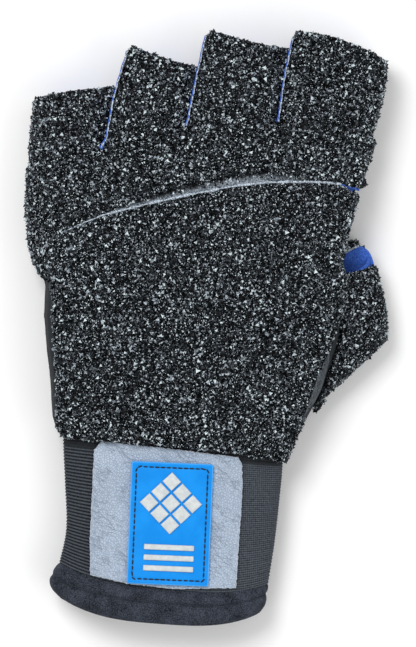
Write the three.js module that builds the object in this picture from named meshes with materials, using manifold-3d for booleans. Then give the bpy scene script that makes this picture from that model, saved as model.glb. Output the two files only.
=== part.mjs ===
// A half-finger shooting glove, lying on its palm with the back of the hand up.
// +X points to the thumb side, +Y to the fingertips, +Z away from the table, in millimetres.
// Every wall follows one reference skin: the outer face of the fabric and lining layer.
// The granulated rubber lies over that skin, the fabric and the blue lining lie under it.
import * as THREE from 'three';
import { mergeVertices } from 'three/addons/utils/BufferGeometryUtils.js';
import Module from 'manifold-3d';

const wasm = await Module();
wasm.setup();

// Driving dimensions
const layerGap = 0.3; // between two layers that lie on each other
const gripThickness = 2.4; // granulated rubber on its backing
const innerThickness = 1.5; // stretch fabric, and the lining
const elasticThickness = 1.8;
const hemThickness = 2.6;
const patchThickness = 1.2;
const labelThickness = 1.4;
const reliefThickness = 0.6;
const openEnd = 6; // how far a cavity's cutter runs past an open end
const padOverhang = 5; // room past the fabric's wrist edge that the back pad is cut from
const thumbLip = 0.6; // the thumb's rubber runs this far past its lining
const roundness = 2.7; // superellipse exponent of a section
const flatBelly = 1.07; // above 1, the middle of a belly is flat
const bowRoundness = 3; // how fully a bowed end keeps its bow towards its two sides
const slitWidth = 1.1; // between two neighbouring finger stalls
const edgeStripWidth = 0.5; // the lining's turned-up edge in a slit
const handSides = 24; // points round a hand section
const stallSides = 16; // points round a finger, thumb or cuff section

const gripInside = layerGap;
const gripOutside = layerGap + gripThickness;

// Reads a table whose first row names the columns, and gives one object for each other row.
function table(columns, ...rows) {
  const names = columns.split(' ');
  return rows.map((row) => Object.fromEntries(names.map((name, i) => [name, row[i]])));
}

// A section runs from a left point to a right point in plan. edgeL and edgeR are the heights of its
// two folds, topL and topR of its upper face, bellyL and bellyR of its lower face.
// bow moves its middle forward, and rake leans it back at the top.
const columns = 'xl yl xr yr edgeL edgeR topL topR bellyL bellyR bow rake';

const handRows = table(columns,
  [-59.6, -42.6, 33.0, -52.4, 12.5, 12.5, 26.0, 26.0, 1.2, 1.2, 2.4, 0],
  [-61.8, -36.0, 37.4, -41.0, 13.0, 13.5, 28.0, 28.0, 1.2, 1.2, 0, 0],
  [-62.8, -24.0, 46.8, -24.0, 13.5, 15.0, 30.0, 30.5, 1.2, 1.8, 0, 0],
  [-64.0, -8.0, 52.0, -8.0, 14.0, 18.0, 31.0, 32.0, 1.2, 9.0, 0, 0],
  [-65.4, 4.0, 53.6, 4.0, 14.0, 24.5, 31.5, 33.0, 1.6, 21.6, 0, 0],
  [-64.6, 16.0, 53.4, 18.0, 14.0, 26.0, 31.5, 33.0, 2.7, 22.0, 0, 0],
  [-68.4, 30.0, 53.4, 34.0, 14.0, 25.0, 31.0, 32.5, 2.7, 19.0, 0, 0],
  [-70.2, 46.0, 57.0, 50.0, 13.5, 20.5, 30.0, 31.5, 2.7, 10.0, 1, 0],
  [-69.8, 61.0, 64.4, 71.0, 13.5, 18.0, 24.0, 26.5, 2.7, 6.5, 10.5, 0],
);

// Where, across the hand, the belly rises from bellyL to bellyR to make room for the thumb.
const thumbFold = { from: 16, to: 36 };

const fingerRows = {
  little: table(columns,
    [-67.2, 50.0, -50.6, 50.0, 12.5, 12.5, 22.5, 25.0, 4.5, 4.5, 0, 0],
    [-68.6, 70.0, -45.6, 72.0, 12.0, 12.0, 24.5, 25.0, 2.7, 2.7, 0, 0],
    [-67.6, 82.0, -42.2, 84.0, 12.0, 11.0, 22.5, 22.5, 2.7, 2.7, 0, 0],
    [-66.6, 91.6, -38.9, 95.8, 12.5, 10.5, 21.0, 20.5, 2.7, 2.7, 0.3, 0],
  ),
  ring: table(columns,
    [-44.4, 52.0, -17.4, 56.0, 13.5, 13.0, 26.0, 26.5, 4.5, 5.0, 0, 0],
    [-38.4, 73.0, -12.2, 77.0, 15.0, 12.0, 26.5, 26.0, 2.7, 3.4, 0, 0],
    [-33.6, 91.0, -8.8, 91.0, 15.8, 11.5, 25.0, 23.0, 2.7, 3.4, 0, 0],
    [-27.5, 111.6, -5.6, 104.6, 16.5, 11.5, 24.0, 20.5, 2.7, 3.4, -1.4, 0],
  ),
  middle: table(columns,
    [-9.8, 58.0, 20.8, 60.0, 15.0, 14.0, 26.5, 27.0, 5.2, 5.6, 0, 0],
    [-5.0, 79.0, 24.6, 79.5, 16.5, 13.5, 27.6, 27.0, 3.4, 4.8, 0, 0],
    [-1.2, 97.0, 27.4, 95.5, 17.5, 13.0, 26.5, 24.5, 3.4, 4.8, 0, 0],
    [3.8, 117.8, 30.2, 111.4, 18.0, 13.0, 25.5, 22.0, 3.4, 4.8, -1.2, 0],
  ),
  index: table(columns,
    [27.0, 59.0, 57.0, 60.0, 17.0, 18.5, 27.0, 25.0, 9.5, 11.5, 0, 0],
    [31.6, 79.5, 65.0, 80.5, 18.0, 16.5, 28.6, 28.0, 4.8, 6.5, 0, 0],
    [33.6, 97.0, 68.6, 94.0, 19.0, 16.0, 28.0, 26.5, 4.8, 6.5, 0, 0],
    [37.7, 117.0, 70.0, 106.2, 19.5, 16.0, 27.0, 24.5, 4.8, 6.5, 2.4, 0],
  ),
};

// The thumb's sections fan round the crotch: left is the side that lies under the hand.
const thumbRows = table(columns,
  [8.0, -20.0, 31.5, -37.5, 11.0, 11.0, 18.0, 18.0, 4.0, 4.0, 0, 0],
  [16.0, -9.0, 43.4, -28.4, 11.0, 11.5, 19.0, 19.0, 2.7, 2.7, 0, 0],
  [24.0, 0.0, 57.2, -16.0, 11.0, 11.5, 19.0, 19.0, 2.7, 2.7, 0, 0],
  [31.0, 6.5, 69.8, -4.4, 11.0, 11.0, 18.6, 18.6, 2.7, 2.7, 0, 0],
  [34.4, 11.0, 69.4, 6.4, 11.0, 11.0, 18.5, 18.5, 2.7, 2.7, 0, 1.8],
  [35.4, 15.5, 67.4, 15.6, 11.0, 11.0, 18.5, 18.5, 2.7, 2.7, 0, 3.6],
  [35.7, 18.0, 65.6, 22.4, 11.0, 11.0, 18.5, 18.5, 2.7, 2.7, 0, 4.8],
  [36.0, 20.0, 65.4, 28.2, 11.0, 11.0, 18.5, 18.5, 2.7, 2.7, 0, 5.6],
);

// The cuff's rows give the elastic's outer face. sag lets the upper face hang towards the wrist.
const cuffRows = table(columns,
  [-57.4, -37.0, 30.4, -45.0, 12.5, 12.5, 23.4, 23.4, 3.6, 3.6, 0, 0],
  [-57.4, -48.0, 30.2, -56.0, 12.5, 12.5, 23.6, 23.6, 3.2, 3.2, -0.4, 0],
  [-56.8, -62.0, 29.0, -69.0, 12.0, 12.0, 23.6, 23.6, 2.4, 2.4, -1.6, 0],
  [-56.4, -82.0, 26.8, -88.0, 12.0, 12.0, 23.4, 23.4, 2.0, 2.0, -3.6, 0],
  [-59.0, -94.4, 24.4, -103.0, 12.0, 12.0, 23.8, 23.8, 1.6, 1.6, -6.0, 0],
);

const hemRows = table(columns,
  [-54.8, -89.0, 22.0, -96.0, 12.0, 12.0, 20.8, 20.8, 4.4, 4.4, -5.0, 0],
  [-56.4, -95.6, 21.8, -104.2, 12.0, 12.0, 21.2, 21.2, 4.2, 4.2, -6.2, 0],
  [-62.0, -99.6, 23.6, -107.2, 12.5, 12.5, 25.4, 25.4, 0.2, 0.2, -6.6, 0],
  [-61.8, -104.6, 23.2, -111.4, 12.5, 12.5, 25.8, 25.8, 0.0, 0.0, -6.8, 0],
  [-57.8, -109.0, 20.8, -114.8, 12.5, 12.5, 24.2, 24.2, 1.4, 1.4, -6.6, 0],
);

// The back pad's outline: an arc along the knuckles, then points round the other three sides.
const knuckleArc = { x: 35, y: 57.6 - 218, r: 218, from: 56, to: -62.4 };
const padOutline = table('x y',
  [-62.4, 24], [-61.4, -2.5], [-60.1, -22], [-60.0, -40], [-57.3, -44.6], [-32, -46.2],
  [-3, -48.6], [12.7, -50.6], [31.6, -54.4], [38.2, -39], [44.0, -24], [49.6, -7.4],
  [54.5, 6], [62, 18], [62, 53.6],
);
const knuckleGap = { left: 0.4, right: 2.0 }; // between the finger panel and the back pad

// The finger panel's lower edge, outside the pad on the little finger's side and under the palm.
const sideHem = table('x y',
  [-90, 30], [-69.5, 24.6], [-63.6, 17.6], [-40, 27], [-10, 44], [30, 48], [90, 46],
);
const liningOverlap = 4.5; // how far the lining runs under the back pad
const splitHeight = { atLeft: 12.6, atRight: 16.8, reach: 80 }; // side seam of the finger stalls

const thumbSeam = 20; // where the thumb's panel is sewn to the palm

// Where the thumb's rubber is cut back from its open end, down to a height over the table.
const thumbCut = table('x y', [40, 17], [54.7, 20.8], [66.2, 23.8], [76, 26.4], [76, 46], [40, 46]);
const thumbCutHeight = 2.6;

// Slits between the stalls, each a path from the crotch to the next stall's tip.
const slitPaths = {
  ring: table('x y', [-41.4, 72.8], [-40, 76.2], [-37, 92.4], [-32, 109.8]),
  middle: table('x y', [-8.4, 79.8], [-7.2, 85], [-4.7, 98], [-0.8, 115.8]),
  index: table('x y', [28.2, 81.4], [28.8, 86], [30.5, 98], [34, 114.8]),
};
const slits = [
  { name: 'ring_edge_lining', low: 9, high: 23.4, path: slitPaths.ring },
  { name: 'middle_edge_lining', low: 10, high: 25.6, path: slitPaths.middle },
  { name: 'index_edge_lining', low: 11, high: 27.4, path: slitPaths.index },
];
const slitLead = 2.4; // how far the cut between two stalls starts before its strip

// Flat pieces on the cuff, as corner points in plan.
const patchCorners = table('x y',
  [-42.3, -45.6], [-45.0, -49.2], [-46.7, -84.0], [-46.6, -99.0], [-31.4, -102.2],
  [-13.2, -103.9], [11.6, -103.6], [14.2, -64.0], [14.0, -54.6], [12.4, -52.0], [-16.0, -48.4],
);
const label = { x: -14.7, y: -79.0, width: 32.6, length: 48.6, turn: -0.042, corner: 1.6 };
const lozenge = { y: 8.2, half: 13.0, gap: 1.2 };
const reliefBars = table('y width height', [-9.4, 20, 2.2], [-13.6, 20, 2.2], [-17.8, 20, 2.2]);

const lerp = (a, b, t) => a + (b - a) * t;
const smoothstep = (a, b, x) => {
  const t = Math.min(1, Math.max(0, (x - a) / (b - a)));
  return t * t * (3 - 2 * t);
};
const power = (x, p) => Math.sign(x) * Math.abs(x) ** p;

// The points round one section, each moved outward by offset across the section's own curve.
function sectionRing(row, offset, sides) {
  const left = new THREE.Vector2(row.xl, row.yl);
  const right = new THREE.Vector2(row.xr, row.yr);
  const width = left.distanceTo(right);
  const across = right.clone().sub(left).divideScalar(width);
  const base = Array.from({ length: sides }, (_, k) => {
    const angle = (2 * Math.PI * k) / sides;
    const t = power(Math.cos(angle), 2 / roundness);
    const share = (t + 1) / 2;
    const upper = Math.sin(angle) >= 0;
    const bulge = Math.abs(Math.sin(angle)) ** (2 / roundness);
    const full = upper ? bulge : Math.min(1, bulge * flatBelly);
    const fold = smoothstep(thumbFold.from, thumbFold.to, lerp(left.x, right.x, share));
    const top = lerp(row.topL, row.topR, share);
    const belly = lerp(row.bellyL, row.bellyR, fold);
    const z = lerp(lerp(row.edgeL, row.edgeR, share), upper ? top : belly, full);
    const forward = row.bow * (1 - Math.abs(t) ** bowRoundness) - row.rake * full * (upper ? 1 : -1);
    return { flat: new THREE.Vector2(share * width, z), forward };
  });
  return base.map(({ flat, forward }, k) => {
    const before = base.at(k - 1).flat;
    const after = base[(k + 1) % sides].flat;
    const outward = new THREE.Vector2(after.y - before.y, before.x - after.x).normalize();
    const { x, y } = flat.clone().addScaledVector(outward, offset);
    return new THREE.Vector3(left.x + across.x * x, left.y + across.y * x + forward, y);
  });
}

// A closed solid through a list of rings with equal point counts.
function loft(rings) {
  const sides = rings[0].length;
  const corners = rings.flat();
  const faces = [];
  for (let i = 0; i + 1 < rings.length; i += 1) {
    for (let k = 0; k < sides; k += 1) {
      const a = i * sides + k;
      const b = i * sides + ((k + 1) % sides);
      faces.push(a, b, b + sides, a, b + sides, a + sides);
    }
  }
  [0, rings.length - 1].forEach((i) => {
    const centre = rings[i].reduce((sum, p) => sum.add(p), new THREE.Vector3()).divideScalar(sides);
    corners.push(centre);
    for (let k = 0; k < sides; k += 1) {
      const a = i * sides + k;
      const b = i * sides + ((k + 1) % sides);
      faces.push(...(i === 0 ? [b, a] : [a, b]), corners.length - 1);
    }
  });
  const geometry = new THREE.BufferGeometry().setFromPoints(corners);
  geometry.setIndex(faces);
  return solidOf(geometry);
}

// A manifold-3d solid of a closed geometry, turned outside out where it has to be.
function solidOf(geometry) {
  const bare = geometry.index ? geometry.toNonIndexed() : geometry.clone();
  bare.deleteAttribute('normal');
  bare.deleteAttribute('uv');
  const merged = mergeVertices(bare, 1e-4);
  const make = (order) => new wasm.Manifold(new wasm.Mesh({
    numProp: 3,
    vertProperties: merged.attributes.position.array,
    triVerts: Uint32Array.from(order),
  }));
  const faces = Array.from(merged.index.array);
  const solid = make(faces);
  if (solid.volume() > 0) return solid;
  for (let i = 0; i < faces.length; i += 3) [faces[i + 1], faces[i + 2]] = [faces[i + 2], faces[i + 1]];
  return make(faces);
}

// The row that lies by past the end row, straight on from its neighbour.
function rowBeyond(end, neighbour, by) {
  const on = { ...end };
  ['l', 'r'].forEach((side) => {
    const from = new THREE.Vector2(neighbour[`x${side}`], neighbour[`y${side}`]);
    const to = new THREE.Vector2(end[`x${side}`], end[`y${side}`]);
    const step = to.clone().sub(from).normalize().multiplyScalar(by);
    on[`x${side}`] = to.x + step.x;
    on[`y${side}`] = to.y + step.y;
  });
  return on;
}

// A tube through a table's rows, grown by offset. grow is how far it runs on past its two ends.
function tube(rows, offset, sides, [before, after] = [0, 0]) {
  const all = [...rows];
  if (after > 0) all.push(rowBeyond(rows.at(-1), rows.at(-2), after));
  if (after < 0) all[all.length - 1] = rowBeyond(rows.at(-1), rows.at(-2), after);
  if (before > 0) all.unshift(rowBeyond(rows[0], rows[1], before));
  return loft(all.map((row) => sectionRing(row, offset, sides)));
}

// The hand runs on past the wrist, and a stall past its tip, by the lengths given.
const hand = (offset, pastWrist = 0) => tube(handRows, offset, handSides, [pastWrist, offset]);
const stall = (rows, offset, pastTip = 0) => tube(rows, offset, stallSides, [0, pastTip]);
const thumb = (offset, pastTip = 0) => stall(thumbRows, offset, pastTip);
const handAndFingers = (offset, pastWrist = 0, pastTips = 0) => Object.values(fingerRows)
  .reduce((all, rows) => all.add(stall(rows, offset, pastTips)), hand(offset, pastWrist));

// A prism over an outline in plan, tall enough to cut the whole glove.
const tall = { low: -20, high: 70 };
function prism(points, low = tall.low, high = tall.high) {
  const shape = points instanceof THREE.Shape ? points : new THREE.Shape(points);
  const settings = { depth: high - low, bevelEnabled: false, curveSegments: 18 };
  return solidOf(new THREE.ExtrudeGeometry(shape, settings).translate(0, 0, low));
}

const arcAngle = (x) => Math.acos((x - knuckleArc.x) / knuckleArc.r);
const arcHeight = (x) => knuckleArc.y + Math.sin(arcAngle(x)) * knuckleArc.r;

// The back pad in plan, with its edges moved outward by grow.
function padShape(grow = 0) {
  const shape = new THREE.Shape();
  const radius = knuckleArc.r + grow;
  shape.absarc(knuckleArc.x, knuckleArc.y, radius, arcAngle(knuckleArc.from), arcAngle(knuckleArc.to), false);
  const centre = new THREE.Vector2(0, 0);
  padOutline.forEach(({ x, y }) => {
    const out = new THREE.Vector2(x, y).sub(centre).normalize().multiplyScalar(grow);
    shape.lineTo(x + out.x, y + out.y);
  });
  return shape;
}

// Everything on the fingers' side of the knuckle arc, moved by shift, more on the thumb's side.
function fingerSide(shift, extraRight = 0) {
  const reach = 95;
  const steps = 16;
  const points = Array.from({ length: steps + 1 }, (_, i) => {
    const x = lerp(-reach, reach, i / steps);
    const extra = extraRight * smoothstep(25, 60, x);
    return new THREE.Vector2(x, arcHeight(x) + shift + extra);
  });
  points.push(new THREE.Vector2(reach, 160), new THREE.Vector2(-reach, 160));
  return points;
}

// Everything on the fingers' side of the panel's hem line.
function hemSide(shift) {
  const points = sideHem.map(({ x, y }) => new THREE.Vector2(x, y + shift));
  points.push(new THREE.Vector2(90, 160), new THREE.Vector2(-90, 160));
  return points;
}

// The space above or below the stalls' side seam.
function beyondSeam(above) {
  const { atLeft, atRight, reach } = splitHeight;
  const block = new THREE.BoxGeometry(reach * 4, 320, 80);
  block.translate(0, 0, above ? 40 + layerGap / 2 : -40 - layerGap / 2);
  block.rotateY(-Math.atan2(atRight - atLeft, 2 * reach));
  block.translate(0, 0, (atLeft + atRight) / 2);
  return solidOf(block);
}

// The space over the fold line of the hand, from its edge heights upward.
function overFold(drop) {
  const far = 30;
  const rows = [rowBeyond(handRows[0], handRows[1], 2 * padOverhang), ...handRows];
  return loft(rows.map((row) => [
    new THREE.Vector3(row.xl - far, row.yl, row.edgeL - drop),
    new THREE.Vector3(row.xr + far, row.yr, row.edgeR - drop),
    new THREE.Vector3(row.xr + far, row.yr, tall.high),
    new THREE.Vector3(row.xl - far, row.yl, tall.high),
  ]));
}

// A strip in plan along a slit, begun lead before the path's first point.
function slitStrip({ path }, width, lead = 0) {
  const points = plan(path);
  points[0].add(points[0].clone().sub(points[1]).setLength(lead));
  const sides = points.map((point, i) => {
    const next = points[Math.min(i + 1, points.length - 1)];
    const along = next.clone().sub(points[Math.max(i - 1, 0)]).normalize();
    return new THREE.Vector2(-along.y, along.x).multiplyScalar(width / 2);
  });
  const left = points.map((point, i) => point.clone().add(sides[i]));
  const right = points.map((point, i) => point.clone().sub(sides[i]));
  return [...left, ...right.reverse()];
}

const plan = (points) => points.map(({ x, y }) => new THREE.Vector2(x, y));

// Turns a point given on the label's own face into plan coordinates.
function onLabel(x, y) {
  const c = Math.cos(label.turn);
  const s = Math.sin(label.turn);
  return new THREE.Vector2(label.x + x * c - y * s, label.y + x * s + y * c);
}

function labelRectangle(x, y, width, height) {
  const corners = [[-1, -1], [1, -1], [1, 1], [-1, 1]];
  return corners.map(([i, j]) => onLabel(x + (i * width) / 2, y + (j * height) / 2));
}

// Layers of the hand and the fingers
const outerWall = handAndFingers(gripOutside, padOverhang)
  .subtract(handAndFingers(gripInside, openEnd, openEnd));
const innerWall = handAndFingers(0).subtract(handAndFingers(-innerThickness, openEnd, openEnd));
const thumbOuter = thumb(gripOutside, thumbLip).subtract(thumb(gripInside, openEnd));
const thumbInner = thumb(0).subtract(thumb(-innerThickness, openEnd));
const slitCut = slits.map((slit) => prism(slitStrip(slit, slitWidth, slitLead)))
  .reduce((all, one) => all.add(one));

// The finger panel: four half stalls on one sheet, upper and lower
function fingerPanelTop() {
  const sideWrap = prism(hemSide(0)).subtract(prism(padShape(knuckleGap.left)));
  const onTop = prism(fingerSide(knuckleGap.left, knuckleGap.right - knuckleGap.left));
  const leftSide = prism(plan(table('x y', [-90, 0], [-62.8, 0], [-62.8, 60], [-90, 60])));
  const outsidePad = sideWrap.intersect(leftSide);
  return outerWall.intersect(beyondSeam(true)).intersect(onTop.add(outsidePad)).subtract(slitCut);
}

function fingerPanelUnder() {
  return outerWall.intersect(beyondSeam(false)).intersect(prism(hemSide(0))).subtract(slitCut);
}

function backPad() {
  return outerWall.intersect(overFold(0)).intersect(prism(padShape()));
}

// The room the thumb's layers leave free: the hand and the back pad on its side
function besideThumb() {
  const pad = hand(gripOutside + layerGap).intersect(prism(padShape(layerGap)));
  return hand(layerGap).add(pad.intersect(overFold(layerGap)));
}

function thumbPanel() {
  const palmSide = prism(plan(table('x y', [thumbSeam, -60], [90, -60], [90, 60], [thumbSeam, 60])));
  const openEndCut = prism(plan(thumbCut), thumbCutHeight);
  return thumbOuter.intersect(palmSide).subtract(besideThumb()).subtract(openEndCut);
}

// The lining: blue, inside the stalls and under the finger panel
function fingerLining() {
  return innerWall.intersect(prism(fingerSide(-liningOverlap)));
}

function thumbLining() {
  return thumbInner.subtract(besideThumb());
}

function handShell() {
  const thumbWay = thumb(-innerThickness, openEnd).intersect(hand(openEnd));
  return innerWall.subtract(prism(fingerSide(-liningOverlap - layerGap))).subtract(thumbWay);
}

// The cuff
const cuff = (offset, grow) => tube(cuffRows, offset, handSides, grow);

function cuffElastic() {
  return cuff(0, [0, 0]).subtract(cuff(-elasticThickness, [openEnd, openEnd]));
}

function cuffHem() {
  const inner = hemRows.map((row) => ({ ...row }));
  return tube(hemRows, 0, handSides).subtract(tube(inner, -hemThickness, handSides, [openEnd, openEnd]));
}

// A piece that lies on the elastic's upper face, between two heights over it
function onCuff(outline, low, high) {
  const layer = cuff(high, [openEnd, openEnd]).subtract(cuff(low, [2 * openEnd, 2 * openEnd]));
  return layer.intersect(prism(outline, 14));
}

const patchLow = layerGap;
const labelLow = patchLow + patchThickness + layerGap;
const reliefLow = labelLow + labelThickness + layerGap;

function roundedRectangle(width, height, radius) {
  const corners = [[1, 1, 0], [-1, 1, 1], [-1, -1, 2], [1, -1, 3]];
  const steps = 3;
  return corners.flatMap(([i, j, quarter]) => Array.from({ length: steps + 1 }, (_, k) => {
    const angle = (quarter + k / steps) * (Math.PI / 2);
    const cx = i * (width / 2 - radius);
    const cy = j * (height / 2 - radius);
    return onLabel(cx + radius * Math.cos(angle), cy + radius * Math.sin(angle));
  }));
}

function labelPlate() {
  const outline = roundedRectangle(label.width, label.length, label.corner);
  return onCuff(outline, labelLow, labelLow + labelThickness);
}

// A generic raised ornament: a large lozenge of nine small ones, joined by a thin web
function labelLozenge() {
  const { y, half, gap } = lozenge;
  const diamond = (cx, cy, r) => [[r, 0], [0, r], [-r, 0], [0, -r]].map(([i, j]) => onLabel(cx + i, cy + j));
  const plate = onCuff(diamond(0, y, half), reliefLow, reliefLow + reliefThickness / 2);
  const step = half / 3;
  const small = [-1, 0, 1].flatMap((i) => [-1, 0, 1].map((j) => [(i + j) * step, (i - j) * step]));
  const top = reliefLow + reliefThickness;
  const raised = ([x, up]) => onCuff(diamond(x, y + up, step - gap / 2), reliefLow, top);
  return small.map(raised).reduce((all, one) => all.add(one), plate);
}

function reliefBar({ y, width, height }) {
  return onCuff(labelRectangle(0, y, width, height), reliefLow, reliefLow + reliefThickness);
}

// Colours and finishes
const finish = (color, roughness) => new THREE.MeshStandardMaterial({ color, roughness, metalness: 0 });
const materials = {
  grip: finish('#25282b', 0.9),
  fabric: finish('#2c3034', 0.85),
  lining: finish('#2b4686', 0.9),
  elastic: finish('#3b4046', 0.85),
  hem: finish('#343a42', 0.95),
  leather: finish('#a5b4c6', 0.6),
  label: finish('#1f8fe8', 0.4),
  relief: finish('#cfd6d8', 0.4),
};

const glove = new THREE.Group();

function add(name, solid, material) {
  const made = solid.getMesh();
  const geometry = new THREE.BufferGeometry();
  const positions = new Float32Array(made.numVert * 3);
  for (let i = 0; i < made.numVert; i += 1) {
    positions.set(made.vertProperties.subarray(i * made.numProp, i * made.numProp + 3), i * 3);
  }
  geometry.setAttribute('position', new THREE.BufferAttribute(positions, 3));
  geometry.setIndex(new THREE.BufferAttribute(made.triVerts, 1));
  geometry.computeVertexNormals();
  const mesh = new THREE.Mesh(geometry, material);
  mesh.name = name;
  glove.add(mesh);
}

add('finger_panel_top', fingerPanelTop(), materials.grip);
add('finger_panel_under', fingerPanelUnder(), materials.grip);
add('back_pad', backPad(), materials.grip);
add('thumb_panel', thumbPanel(), materials.grip);
add('finger_lining', fingerLining(), materials.lining);
add('thumb_lining', thumbLining(), materials.lining);
slits.forEach((slit) => {
  add(slit.name, prism(slitStrip(slit, edgeStripWidth), slit.low, slit.high), materials.lining);
});
add('hand_shell', handShell(), materials.fabric);
add('cuff_elastic', cuffElastic(), materials.elastic);
add('cuff_hem', cuffHem(), materials.hem);
add('leather_patch', onCuff(plan(patchCorners), patchLow, patchLow + patchThickness), materials.leather);
add('label_plate', labelPlate(), materials.label);
add('label_lozenge', labelLozenge(), materials.relief);
reliefBars.forEach((bar, i) => add(`label_bar_${i + 1}`, reliefBar(bar), materials.relief));

export default glove;
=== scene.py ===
import bpy
import bmesh
import math
import numpy as np
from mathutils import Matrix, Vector, noise
from mathutils.bvhtree import BVHTree
from mathutils.geometry import delaunay_2d_cdt


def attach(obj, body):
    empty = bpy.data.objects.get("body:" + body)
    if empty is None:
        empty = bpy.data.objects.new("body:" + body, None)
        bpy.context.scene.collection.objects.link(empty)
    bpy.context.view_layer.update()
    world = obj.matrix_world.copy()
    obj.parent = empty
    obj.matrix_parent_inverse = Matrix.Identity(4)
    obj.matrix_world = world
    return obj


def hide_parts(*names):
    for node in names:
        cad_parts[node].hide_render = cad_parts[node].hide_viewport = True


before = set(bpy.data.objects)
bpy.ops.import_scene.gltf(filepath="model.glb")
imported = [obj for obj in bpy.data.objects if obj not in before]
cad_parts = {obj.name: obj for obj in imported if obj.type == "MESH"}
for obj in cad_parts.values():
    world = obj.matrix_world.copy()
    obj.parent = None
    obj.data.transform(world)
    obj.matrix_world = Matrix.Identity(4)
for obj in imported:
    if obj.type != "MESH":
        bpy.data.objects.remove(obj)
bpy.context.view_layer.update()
mm = 0.001


# meshes

def newPiece(name, verts, faces, edges=()):
    mesh = bpy.data.meshes.new(name)
    mesh.from_pydata(np.asarray(verts, dtype=float).tolist(), list(edges), [list(f) for f in faces])
    mesh.update()
    piece = bpy.data.objects.new(name, mesh)
    bpy.context.scene.collection.objects.link(piece)
    mesh.polygons.foreach_set("use_smooth", [True] * len(mesh.polygons))
    return piece


def settle(piece):  # turns what the modifiers make into the piece's own mesh
    evaluated = piece.evaluated_get(bpy.context.evaluated_depsgraph_get())
    mesh = bpy.data.meshes.new_from_object(evaluated)
    piece.modifiers.clear()
    old = piece.data
    piece.data = mesh
    bpy.data.meshes.remove(old)
    mesh.name = piece.name
    return piece


def faceOut(piece):
    form = bmesh.new()
    form.from_mesh(piece.data)
    bmesh.ops.recalc_face_normals(form, faces=form.faces)
    form.to_mesh(piece.data)
    form.free()


def pieceOf(name, form):  # a new piece from a bmesh, which is freed
    mesh = bpy.data.meshes.new(name)
    form.to_mesh(mesh)
    form.free()
    piece = bpy.data.objects.new(name, mesh)
    bpy.context.scene.collection.objects.link(piece)
    return piece


def joined(name, parts):
    form = bmesh.new()
    for part in parts:
        form.from_mesh(part.data)
        bpy.data.objects.remove(part)
    piece = pieceOf(name, form)
    piece.data.polygons.foreach_set("use_smooth", [True] * len(piece.data.polygons))
    return piece


def getPoints(mesh):
    flat = np.empty(len(mesh.vertices) * 3)
    mesh.vertices.foreach_get("co", flat)
    return flat.reshape(-1, 3)


def setPoints(mesh, points):
    mesh.vertices.foreach_set("co", points.ravel())
    mesh.update()


def getNormals(mesh):
    flat = np.empty(len(mesh.vertices) * 3)
    mesh.vertex_normals.foreach_get("vector", flat)
    return flat.reshape(-1, 3)


def store(mesh, name, values):
    layer = mesh.attributes.new(name, "FLOAT", "POINT")
    layer.data.foreach_set("value", np.asarray(values, dtype=np.float32))


def stored(mesh, name):
    values = np.empty(len(mesh.vertices), dtype=np.float32)
    mesh.attributes[name].data.foreach_get("value", values)
    return values


def easeSurface(mesh, rounds, pull=0.5, push=-0.52):  # evens facets out and keeps the volume
    points = getPoints(mesh)
    ends = np.empty(len(mesh.edges) * 2, dtype=np.int64)
    mesh.edges.foreach_get("vertices", ends)
    a, b = ends.reshape(-1, 2).T
    count = len(points)
    degree = np.bincount(a, minlength=count) + np.bincount(b, minlength=count)
    for step in range(rounds * 2):
        total = np.zeros_like(points)
        for axis in range(3):
            total[:, axis] = np.bincount(a, points[b, axis], count) + np.bincount(b, points[a, axis], count)
        points += (pull if step % 2 == 0 else push) * (total / degree[:, None] - points)
    setPoints(mesh, points)


def pressFlat(piece):  # what would stick into the table lies on it
    points = getPoints(piece.data)
    points[:, 2] = np.maximum(points[:, 2], 0.02 * mm)
    setPoints(piece.data, points)


def rise(values, low, high):  # 0 at low, 1 at high
    return np.clip((values - low) / (high - low), 0, 1)


def eased(share):
    return share ** 2 * (3 - 2 * share)


def evened(values, reach=4):  # a running mean
    return np.convolve(np.pad(values, reach, "edge"), np.ones(2 * reach + 1) / (2 * reach + 1), "valid")


def flatPoints(plan):  # with a third coordinate of 0
    return np.column_stack([plan, np.zeros(len(plan))])


def softNoise(points, size, seed):  # about -1 to 1 at each point
    shift = Vector((seed * 3.1, seed * 1.7, seed * 0.9))
    return np.array([noise.noise(Vector(p) / size + shift) for p in points])


def lineNoise(values, size, seed):
    return softNoise([(v, 0, 0) for v in values], size, seed)


def ripple(mesh, height, size, seed):  # low, soft unevenness along the normals
    points = getPoints(mesh)
    setPoints(mesh, points + getNormals(mesh) * (softNoise(points, size, seed) * height)[:, None])


def softCopy(name, node, settings):  # the CAD solid with its facets rounded away
    form = bmesh.new()
    form.from_mesh(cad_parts[node].data)
    bmesh.ops.remove_doubles(form, verts=form.verts, dist=0.002 * mm)
    piece = pieceOf(name, form)
    remesh = piece.modifiers.new("even grid", "REMESH")
    remesh.mode = "VOXEL"
    remesh.voxel_size = settings["grid"]
    settle(piece)
    easeSurface(piece.data, settings["rounds"])
    if settings.get("keep", 1) < 1:
        thin = piece.modifiers.new("fewer faces", "DECIMATE")
        thin.ratio = settings["keep"]
        settle(piece)
    ripple(piece.data, settings["ripple"], settings["rippleSize"], settings["seed"])
    piece.data.polygons.foreach_set("use_smooth", [True] * len(piece.data.polygons))
    return piece


def surfaceOf(*meshes):
    verts, faces = [], []
    for mesh in meshes:
        start = len(verts)
        verts += [v.co.copy() for v in mesh.vertices]
        faces += [[start + i for i in f.vertices] for f in mesh.polygons]
    return BVHTree.FromPolygons(verts, faces)


def solids(*nodes):
    return [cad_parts[node].data for node in nodes]


def heightsUnder(surface, plan):  # of a surface below plan points, in millimetres; nan where it is missing
    hits = [surface.ray_cast(Vector((x * mm, y * mm, 0.1)), Vector((0, 0, -1)))[0] for x, y in plan]
    return np.array([hit.z / mm if hit else np.nan for hit in hits])


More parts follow.
